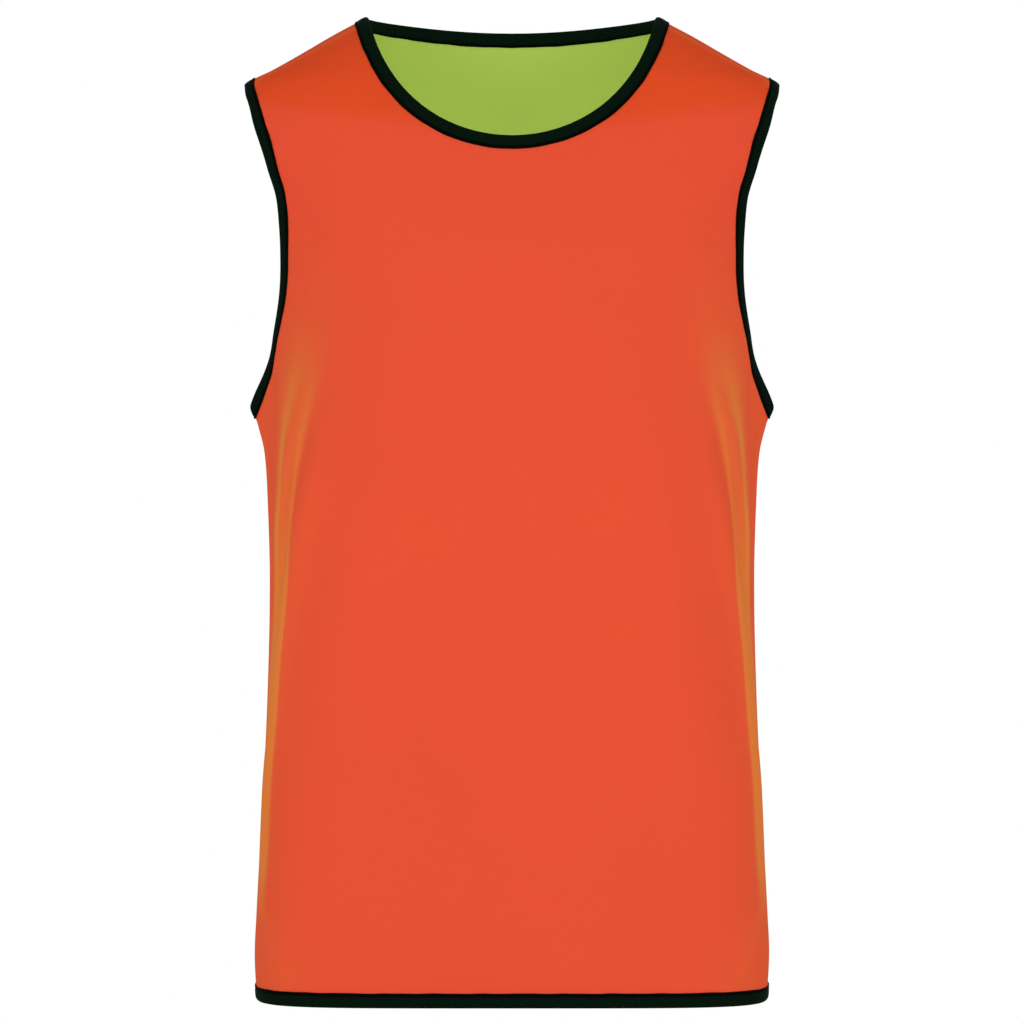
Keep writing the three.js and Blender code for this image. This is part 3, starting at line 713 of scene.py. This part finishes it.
def stitch_mesh(name, stations, binding, material):
    """One short thread for each stitch, on the tape's outer and inner face."""
    thread = bpy.data.meshes.new("thread")
    one = bmesh.new()
    half = Vector((binding.stitch_length / 2, binding.thread_radius, binding.thread_radius))
    bmesh.ops.create_uvsphere(
        one, u_segments=THREAD_SIDES, v_segments=THREAD_RINGS, radius=1,
        matrix=Matrix.Diagonal(half).to_4x4())
    one.to_mesh(thread)
    one.free()
    bm = bmesh.new()
    line_points, normals = across_tape(stations, BINDING_COVER - STITCH_INSET)
    tangents = unit(np.roll(line_points, -1, axis=0) - np.roll(line_points, 1, axis=0))
    for i in range(STATIONS_PER_STITCH // 2, len(line_points), STATIONS_PER_STITCH):
        for lift in (STITCH_LIFT, 2 * MID_CLOTH - STITCH_LIFT):
            along, up = Vector(tangents[i]), Vector(normals[i])
            turned = Matrix((along, up.cross(along), up)).transposed().to_4x4()
            place = Matrix.Translation(Vector(line_points[i] + normals[i] * lift) * MM) @ turned
            thread.transform(place)
            bm.from_mesh(thread)
            thread.transform(place.inverted())
    bpy.data.meshes.remove(thread)
    mesh = bpy.data.meshes.new(name)
    bm.to_mesh(mesh)
    bm.free()
    return link(name, mesh, material)


# Shader node groups and materials
def new_group(name, inputs, outputs):
    group = bpy.data.node_groups.new(name, "ShaderNodeTree")
    for label, kind, default in inputs:
        socket = group.interface.new_socket(name=label, in_out="INPUT", socket_type=kind)
        socket.default_value = default
    for label, kind in outputs:
        group.interface.new_socket(name=label, in_out="OUTPUT", socket_type=kind)
    return group, group.nodes.new("NodeGroupInput"), group.nodes.new("NodeGroupOutput")


def math_node(tree, operation, first, second=None, clamp=False):
    node = tree.nodes.new("ShaderNodeMath")
    node.operation = operation
    node.use_clamp = clamp
    for socket, value in zip(node.inputs, (first, second)):
        if value is None:
            continue
        if isinstance(value, (int, float)):
            socket.default_value = value
        else:
            tree.links.new(value, socket)
    return node.outputs[0]


def attribute_node(tree, name):
    node = tree.nodes.new("ShaderNodeAttribute")
    node.attribute_name = name
    return node.outputs["Fac"]


def noise_node(tree, coordinates, scale, detail):
    node = tree.nodes.new("ShaderNodeTexNoise")
    node.inputs["Scale"].default_value = scale
    node.inputs["Detail"].default_value = detail
    tree.links.new(coordinates, node.inputs["Vector"])
    return node.outputs["Fac"]


def knit_group():
    """Interlock knit: columns of small V loops, from the cloth's UV map in metres."""
    group, inputs, outputs = new_group(
        "knit",
        [("Wale", "NodeSocketFloat", WALE), ("Course", "NodeSocketFloat", COURSE)],
        [("Height", "NodeSocketFloat")])
    uv = group.nodes.new("ShaderNodeUVMap")
    uv.uv_map = "cloth"
    split = group.nodes.new("ShaderNodeSeparateXYZ")
    group.links.new(uv.outputs["UV"], split.inputs[0])
    wales = math_node(group, "DIVIDE", split.outputs["X"], inputs.outputs["Wale"])
    column = math_node(group, "PINGPONG", wales, 0.5)
    courses = math_node(group, "DIVIDE", split.outputs["Y"], inputs.outputs["Course"])
    slanted = math_node(group, "ADD", courses, math_node(group, "MULTIPLY", column, LOOP_SLANT))
    loop = math_node(group, "SINE", math_node(group, "MULTIPLY", slanted, 2 * math.pi))
    rib = math_node(group, "SINE", math_node(group, "MULTIPLY", column, 2 * math.pi))
    height = math_node(group, "ADD", math_node(group, "MULTIPLY", loop, LOOP_SHARE), rib)
    group.links.new(height, outputs.inputs["Height"])
    return group


def cloud_group():
    """Uneven dye and fuzz: soft clouds and a fine mottle, centred on 1."""
    group, inputs, outputs = new_group(
        "uneven_dye",
        [("Clouds", "NodeSocketFloat", 0.04), ("Mottle", "NodeSocketFloat", 0.03)],
        [("Tone", "NodeSocketFloat")])
    place = group.nodes.new("ShaderNodeTexCoord").outputs["Object"]
    clouds = math_node(group, "SUBTRACT", noise_node(group, place, CLOUD_SCALE, detail=2), 0.5)
    mottle = math_node(group, "SUBTRACT", noise_node(group, place, MOTTLE_SCALE, detail=3), 0.5)
    soft = math_node(group, "MULTIPLY", clouds, inputs.outputs["Clouds"])
    fine = math_node(group, "MULTIPLY", mottle, inputs.outputs["Mottle"])
    tone = math_node(group, "ADD", math_node(group, "ADD", soft, fine), 1)
    group.links.new(tone, outputs.inputs["Tone"])
    return group


def painted_sheen_group():
    """Where painted golden sheen lies on the cloth: softly, in two fine lines and in the band outside the
    inner one.
    """
    group, _, outputs = new_group("golden_tone", [], [("Warmth", "NodeSocketFloat")])
    parts = [attribute_node(group, "soft_share")]
    for name in ("inner", "outer"):
        across = attribute_node(group, f"{name}_line")
        falloff = math_node(group, "MULTIPLY", math_node(group, "MULTIPLY", across, across), -1)
        peak = math_node(group, "EXPONENT", falloff)
        parts.append(math_node(group, "MULTIPLY", peak, attribute_node(group, f"{name}_share")))
    rise = group.nodes.new("ShaderNodeMapRange")
    rise.interpolation_type = "SMOOTHSTEP"
    rise.inputs["From Min"].default_value, rise.inputs["From Max"].default_value = BAND_RISE
    group.links.new(attribute_node(group, "inner_line"), rise.inputs["Value"])
    painted_sheen = math_node(group, "MULTIPLY", rise.outputs["Result"], attribute_node(group, "band_share"))
    for part in parts:
        painted_sheen = math_node(group, "ADD", painted_sheen, part, clamp=True)
    group.links.new(painted_sheen, outputs.inputs["Warmth"])
    return group


def pucker_group():
    """Fine creases that run out of the sewn edges, from the cloth's edge attributes."""
    group, inputs, outputs = new_group(
        "edge_pucker",
        [("Pitch", "NodeSocketFloat", CREASE_PITCH), ("Reach", "NodeSocketFloat", CREASE_REACH)],
        [("Height", "NodeSocketFloat")])
    run, gap = attribute_node(group, "edge_run"), attribute_node(group, "edge_gap")
    turn = math_node(group, "MULTIPLY", run, 2 * math.pi)
    wave = math_node(group, "SINE", math_node(group, "DIVIDE", turn, inputs.outputs["Pitch"]))
    past_tape = math_node(group, "SUBTRACT", gap, BINDING_COVER * MM)
    fade = math_node(group, "DIVIDE", past_tape, inputs.outputs["Reach"])
    fade = math_node(group, "SUBTRACT", 1, fade, clamp=True)
    height = math_node(group, "MULTIPLY", wave, math_node(group, "MULTIPLY", fade, fade))
    group.links.new(height, outputs.inputs["Height"])
    return group


def group_of(maker, name):
    return bpy.data.node_groups.get(name) or maker()


def place_group(tree, maker, name, **values):
    node = tree.nodes.new("ShaderNodeGroup")
    node.node_tree = group_of(maker, name)
    for label, value in values.items():
        node.inputs[label].default_value = value
    return node


def mix_colour(tree, blend_type, factor, first, second):
    node = tree.nodes.new("ShaderNodeMix")
    node.data_type = "RGBA"
    node.blend_type = blend_type
    for socket, value in zip((node.inputs[0], node.inputs[6], node.inputs[7]), (factor, first, second)):
        if isinstance(value, bpy.types.NodeSocket):
            tree.links.new(value, socket)
        else:
            socket.default_value = value
    return node.outputs[2]


def fabric_material(name, sheen, specular, sheen_tint=(1, 1, 1)):
    """A matt material with its own sheen, ready for its colour and relief."""
    material = bpy.data.materials.new(name)
    material.use_nodes = True
    shader = material.node_tree.nodes["Principled BSDF"]
    shader.inputs["Sheen Weight"].default_value = sheen
    shader.inputs["Sheen Roughness"].default_value = 0.5
    shader.inputs["Sheen Tint"].default_value = (*sheen_tint, 1)
    shader.inputs["Specular IOR Level"].default_value = specular
    return material, material.node_tree, shader


def toned(tree, colour, tone):
    """A colour scaled by a value that changes over the surface."""
    grey = tree.nodes.new("ShaderNodeCombineColor")
    for socket in grey.inputs:
        tree.links.new(tone, socket)
    return mix_colour(tree, "MULTIPLY", 1, colour, grey.outputs[0])


Relief = namedtuple("Relief", "height strength depth")


def add_relief(tree, shader, reliefs):
    """Bumps stacked on the shader's normal, with their depth in metres."""
    normal = None
    for relief in reliefs:
        bump = tree.nodes.new("ShaderNodeBump")
        bump.inputs["Strength"].default_value = relief.strength
        bump.inputs["Distance"].default_value = relief.depth
        tree.links.new(relief.height, bump.inputs["Height"])
        if normal is not None:
            tree.links.new(normal, bump.inputs["Normal"])
        normal = bump.outputs["Normal"]
    tree.links.new(normal, shader.inputs["Normal"])


def vary_roughness(tree, shader, tone, level):
    rough = math_node(tree, "MULTIPLY", tone, level, clamp=True)
    tree.links.new(rough, shader.inputs["Roughness"])


def knit_material(name, colour, painted_sheen_colour, painted_shade_colour):
    material, tree, shader = fabric_material(name, sheen=0.04, specular=0.03, sheen_tint=painted_sheen_colour)
    tone = place_group(tree, cloud_group, "uneven_dye", Clouds=0.06, Mottle=0.05).outputs["Tone"]
    painted_sheen = place_group(tree, painted_sheen_group, "golden_tone").outputs["Warmth"]
    # Painted shade: the shoulders and the silhouette strip turn towards the painted shade colour.
    base = mix_colour(tree, "MIX", attribute_node(tree, "deepness"), (*colour, 1), (*painted_shade_colour, 1))
    # Painted golden sheen beside the side seams and along the shoulder seams.
    base = mix_colour(tree, "MIX", painted_sheen, base, (*painted_sheen_colour, 1))
    # Painted shade along the seam's line, where the seam sinks into the cloth.
    seam = math_node(tree, "DIVIDE", attribute_node(tree, "seam_gap"), SEAM_LINE)
    seam = math_node(tree, "MINIMUM", seam, 1)
    seam = math_node(tree, "ADD", math_node(tree, "MULTIPLY", seam, 1 - SEAM_SHADE), SEAM_SHADE)
    tree.links.new(toned(tree, base, math_node(tree, "MULTIPLY", tone, seam)), shader.inputs["Base Color"])
    vary_roughness(tree, shader, tone, level=0.88)
    knit = place_group(tree, knit_group, "knit").outputs["Height"]
    pucker = place_group(tree, pucker_group, "edge_pucker").outputs["Height"]
    add_relief(tree, shader, [
        Relief(pucker, strength=0.6, depth=0.0003),
        Relief(knit, strength=0.25, depth=0.0001),
    ])
    return material


def tape_material(name, colour):
    material, tree, shader = fabric_material(name, sheen=0.005, specular=0.015)
    cloud = place_group(tree, cloud_group, "uneven_dye", Clouds=0.3, Mottle=0.35).outputs["Tone"]
    # Painted shade in the groove beside the stitches darkens the tape's margin.
    margin = tree.nodes.new("ShaderNodeMapRange")
    margin.interpolation_type = "SMOOTHSTEP"
    for label, past in zip(("From Min", "From Max"), MARGIN_RISE):
        margin.inputs[label].default_value = (BINDING_COVER - STITCH_INSET + past) * MM
    margin.inputs["To Min"].default_value = 1
    margin.inputs["To Max"].default_value = MARGIN_SHADE
    tree.links.new(attribute_node(tree, "inward"), margin.inputs["Value"])
    tone = math_node(tree, "MULTIPLY", cloud, margin.outputs["Result"])
    tree.links.new(toned(tree, (*colour, 1), tone), shader.inputs["Base Color"])
    vary_roughness(tree, shader, cloud, level=0.8)
    place = tree.nodes.new("ShaderNodeTexCoord").outputs["Object"]
    weave = noise_node(tree, place, TAPE_WEAVE_SCALE, detail=2)
    add_relief(tree, shader, [Relief(weave, strength=0.5, depth=0.0002)])
    return material


def thread_material(name, colour):
    material, tree, shader = fabric_material(name, sheen=0.005, specular=0.05)
    tone = place_group(tree, cloud_group, "uneven_dye", Clouds=0.2, Mottle=0.3).outputs["Tone"]
    tree.links.new(toned(tree, (*colour, 1), tone), shader.inputs["Base Color"])
    vary_roughness(tree, shader, tone, level=0.6)
    return material


def paper_material(name, colour):
    material, tree, shader = fabric_material(name, sheen=0, specular=0.2)
    tone = place_group(tree, cloud_group, "uneven_dye", Clouds=0.02, Mottle=0.02).outputs["Tone"]
    tree.links.new(toned(tree, (*colour, 1), tone), shader.inputs["Base Color"])
    vary_roughness(tree, shader, tone, level=0.9)
    return material


def material_of(name, maker, *colours):
    return bpy.data.materials.get(name) or maker(name, *colours)


# Settings
def colour_property(name, description, default):
    return FloatVectorProperty(
        name=name, description=description, default=default, subtype="COLOR", size=3, min=0, max=1)


def length_property(name, description, default):
    return FloatProperty(
        name=name, description=description, default=default, unit="LENGTH", precision=5, min=0)


class BibColours(PropertyGroup):
    orange: colour_property("Orange", "Outer ply", (0.80, 0.082, 0.035))
    # Colour of the painted golden sheen beside the side seams, also the tint of the shader's own sheen.
    orange_warm: colour_property("Golden orange", "Outer ply beside its side seams", (0.76, 0.205, 0.041))
    # Colour of the painted shade on the shoulders and along the silhouette.
    orange_deep: colour_property("Deep orange", "Outer ply on the shoulders", (0.75, 0.072, 0.0175))
    lime: colour_property("Lime", "Inner ply", (0.437, 0.60, 0.098))
    binding: colour_property("Binding", "Bias tape", (0.0016, 0.0074, 0.0032))
    thread: colour_property("Thread", "Stitches", (0.0015, 0.0035, 0.003))
    paper: colour_property("Floor", "Studio floor", (0.86, 0.86, 0.86))


class BibCloth(PropertyGroup):
    ply_thickness: length_property("Ply", "Thickness of one ply", 0.0006)
    pucker_depth: length_property("Puckers", "Depth of the puckers beside a binding", 0.00018)
    seam_dip: length_property("Seam", "How far a seam sinks into the cloth", 0.0007)


class BibBinding(PropertyGroup):
    pitch: length_property("Stitch pitch", "Length from one stitch to the next", 0.0032)
    stitch_length: length_property("Stitch", "Length of thread that shows", 0.0024)
    thread_radius: length_property("Thread", "Radius of the thread", 0.00024)
    pucker: length_property("Tape pucker", "How far the tape rises between stitches", 0.00018)


class BibStudio(PropertyGroup):
    ambient: FloatProperty(name="Ambient", description="Even light from all round", default=0.6, min=0)
    key_power: FloatProperty(name="Key", description="Each front light", default=31, min=0, unit="POWER")
    fill_power: FloatProperty(name="Fill", description="Back light", default=30, min=0, unit="POWER")
    inside_power: FloatProperty(
        name="Inside", description="Light on the inside of the back", default=0.13, min=0, unit="POWER")
    floor_height: FloatProperty(
        name="Floor height", description="Height of the floor", default=-0.95, unit="LENGTH")


# Operators
# Each knit's own colour, then its colours for painted golden sheen and painted shade; the lime uses its own
# colour for all three.
KNIT_COLOURS = {"orange_knit": ("orange", "orange_warm", "orange_deep"), "lime_knit": ("lime",) * 3}
PANELS = {
    "front_outer": ("front", OUTER_FACE, "orange_knit"),
    "back_outer": ("back", OUTER_FACE, "orange_knit"),
    "front_inner": ("front", INNER_FACE, "lime_knit"),
    "back_inner": ("back", INNER_FACE, "lime_knit"),
}
BINDINGS = {
    "neck_binding": "neck",
    "armhole_binding_left": "armhole_left",
    "armhole_binding_right": "armhole_right",
    "hem_binding": "hem",
}


def shell_name(node):
    return f"{node}_cloth"


def make_panels(context, nodes):
    colours, cloth = context.scene.bib_colours, context.scene.bib_cloth
    for node in nodes:
        face, offset, slot = PANELS[node]
        knit_colours = [tuple(getattr(colours, dye)) for dye in KNIT_COLOURS[slot]]
        material = material_of(f"{slot}_cloth", knit_material, *knit_colours)
        piece = cloth_panel(shell_name(node), face, offset, material, cloth)
        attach(piece, BODY)
        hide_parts(node)


class BIB_OT_outer_panels(Operator):
    """Makes the orange front and back."""
    bl_idname = "bib.outer_panels"
    bl_label = "Outer Panels"

    def execute(self, context):
        make_panels(context, ("front_outer", "back_outer"))
        return {"FINISHED"}


class BIB_OT_inner_panels(Operator):
    """Makes the lime front and back."""
    bl_idname = "bib.inner_panels"
    bl_label = "Inner Panels"

    def execute(self, context):
        make_panels(context, ("front_inner", "back_inner"))
        return {"FINISHED"}


class BIB_OT_bindings(Operator):
    """Makes the four bias bindings and their rows of stitches."""
    bl_idname = "bib.bindings"
    bl_label = "Bindings"

    def execute(self, context):
        colours, binding = context.scene.bib_colours, context.scene.bib_binding
        tape = material_of("binding_tape", tape_material, tuple(colours.binding))
        thread = material_of("stitch_thread", thread_material, tuple(colours.thread))
        for node, edge in BINDINGS.items():
            stations = binding_stations(BOUND_EDGES[edge], binding.pitch / MM)
            piece = binding_mesh(f"{node}_tape", stations, binding, tape)
            stitches = stitch_mesh(f"{edge}_stitches", stations, binding, thread)
            for made in (piece, stitches):
                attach(made, BODY)
            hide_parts(node)
        return {"FINISHED"}


class BIB_OT_studio(Operator):
    """Makes the floor, the lights and the camera."""
    bl_idname = "bib.studio"
    bl_label = "Studio"

    def execute(self, context):
        scene, studio = context.scene, context.scene.bib_studio
        bm = bmesh.new()
        bmesh.ops.create_circle(
            bm, cap_ends=True, segments=FLOOR_SIDES, radius=FLOOR_RADIUS,
            matrix=Matrix.Translation((0, 0, studio.floor_height)))
        mesh = bpy.data.meshes.new("floor")
        bm.to_mesh(mesh)
        bm.free()
        paper = material_of("floor_paper", paper_material, tuple(scene.bib_colours.paper))
        link("floor", mesh, paper)
        for lamp in LAMPS:
            self.light(scene, lamp, getattr(studio, lamp.power))
        self.world(scene, studio.ambient)
        self.camera(scene)
        scene.view_settings.view_transform = "Standard"
        return {"FINISHED"}

    def light(self, scene, lamp, power):
        source = bpy.data.lights.new(lamp.name, "AREA")
        source.shape = "DISK"
        source.size = lamp.size
        source.energy = power
        light = bpy.data.objects.new(lamp.name, source)
        light.location = lamp.place
        light.visible_camera = False
        aim = Vector((0, 0, lamp.place[2])) - Vector(lamp.place)
        light.rotation_euler = aim.to_track_quat("-Z", "Y").to_euler()
        scene.collection.objects.link(light)

    def world(self, scene, strength):
        world = bpy.data.worlds.new("studio")
        world.use_nodes = True
        tree = world.node_tree
        shown = tree.nodes["Background"]
        shown.inputs["Color"].default_value = (1, 1, 1, 1)
        shown.inputs["Strength"].default_value = 1
        ambient = tree.nodes.new("ShaderNodeBackground")
        ambient.inputs["Color"].default_value = (1, 1, 1, 1)
        ambient.inputs["Strength"].default_value = strength
        mix = tree.nodes.new("ShaderNodeMixShader")
        path = tree.nodes.new("ShaderNodeLightPath")
        tree.links.new(path.outputs["Is Camera Ray"], mix.inputs[0])
        tree.links.new(ambient.outputs[0], mix.inputs[1])
        tree.links.new(shown.outputs[0], mix.inputs[2])
        tree.links.new(mix.outputs[0], tree.nodes["World Output"].inputs["Surface"])
        scene.world = world

    def camera(self, scene):
        lens = bpy.data.cameras.new("camera")
        lens.lens = CAMERA_LENS
        lens.sensor_width = SENSOR_WIDTH
        camera = bpy.data.objects.new("camera", lens)
        camera.location = (0, -CAMERA_DISTANCE, CAMERA_HEIGHT)
        camera.rotation_euler = (RIGHT_ANGLE, 0, 0)
        scene.collection.objects.link(camera)
        scene.camera = camera


class BIB_PT_sidebar(Panel):
    """Lists the bib's operators and sizes."""
    bl_idname = "BIB_PT_sidebar"
    bl_label = "Sports Bib"
    bl_space_type = "VIEW_3D"
    bl_region_type = "UI"
    bl_category = "Bib"

    def draw(self, context):
        for step in STEPS:
            self.layout.operator(step.bl_idname)
        for name, group in SETTINGS.items():
            for field in group.__annotations__:
                self.layout.prop(getattr(context.scene, name), field)


STEPS = (BIB_OT_outer_panels, BIB_OT_inner_panels, BIB_OT_bindings, BIB_OT_studio)
SETTINGS = {
    "bib_colours": BibColours,
    "bib_cloth": BibCloth,
    "bib_binding": BibBinding,
    "bib_studio": BibStudio,
}


def register():
    for group in SETTINGS.values():
        bpy.utils.register_class(group)
    for step in STEPS:
        bpy.utils.register_class(step)
    bpy.utils.register_class(BIB_PT_sidebar)
    for name, group in SETTINGS.items():
        setattr(bpy.types.Scene, name, PointerProperty(type=group))


def unregister():
    for name in SETTINGS:
        delattr(bpy.types.Scene, name)
    bpy.utils.unregister_class(BIB_PT_sidebar)
    for step in reversed(STEPS):
        bpy.utils.unregister_class(step)
    for group in reversed(list(SETTINGS.values())):
        bpy.utils.unregister_class(group)


def main():
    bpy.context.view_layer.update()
    register()
    bpy.ops.bib.outer_panels()
    bpy.ops.bib.inner_panels()
    bpy.ops.bib.bindings()
    bpy.ops.bib.studio()


if __name__ == "__main__":
    main()
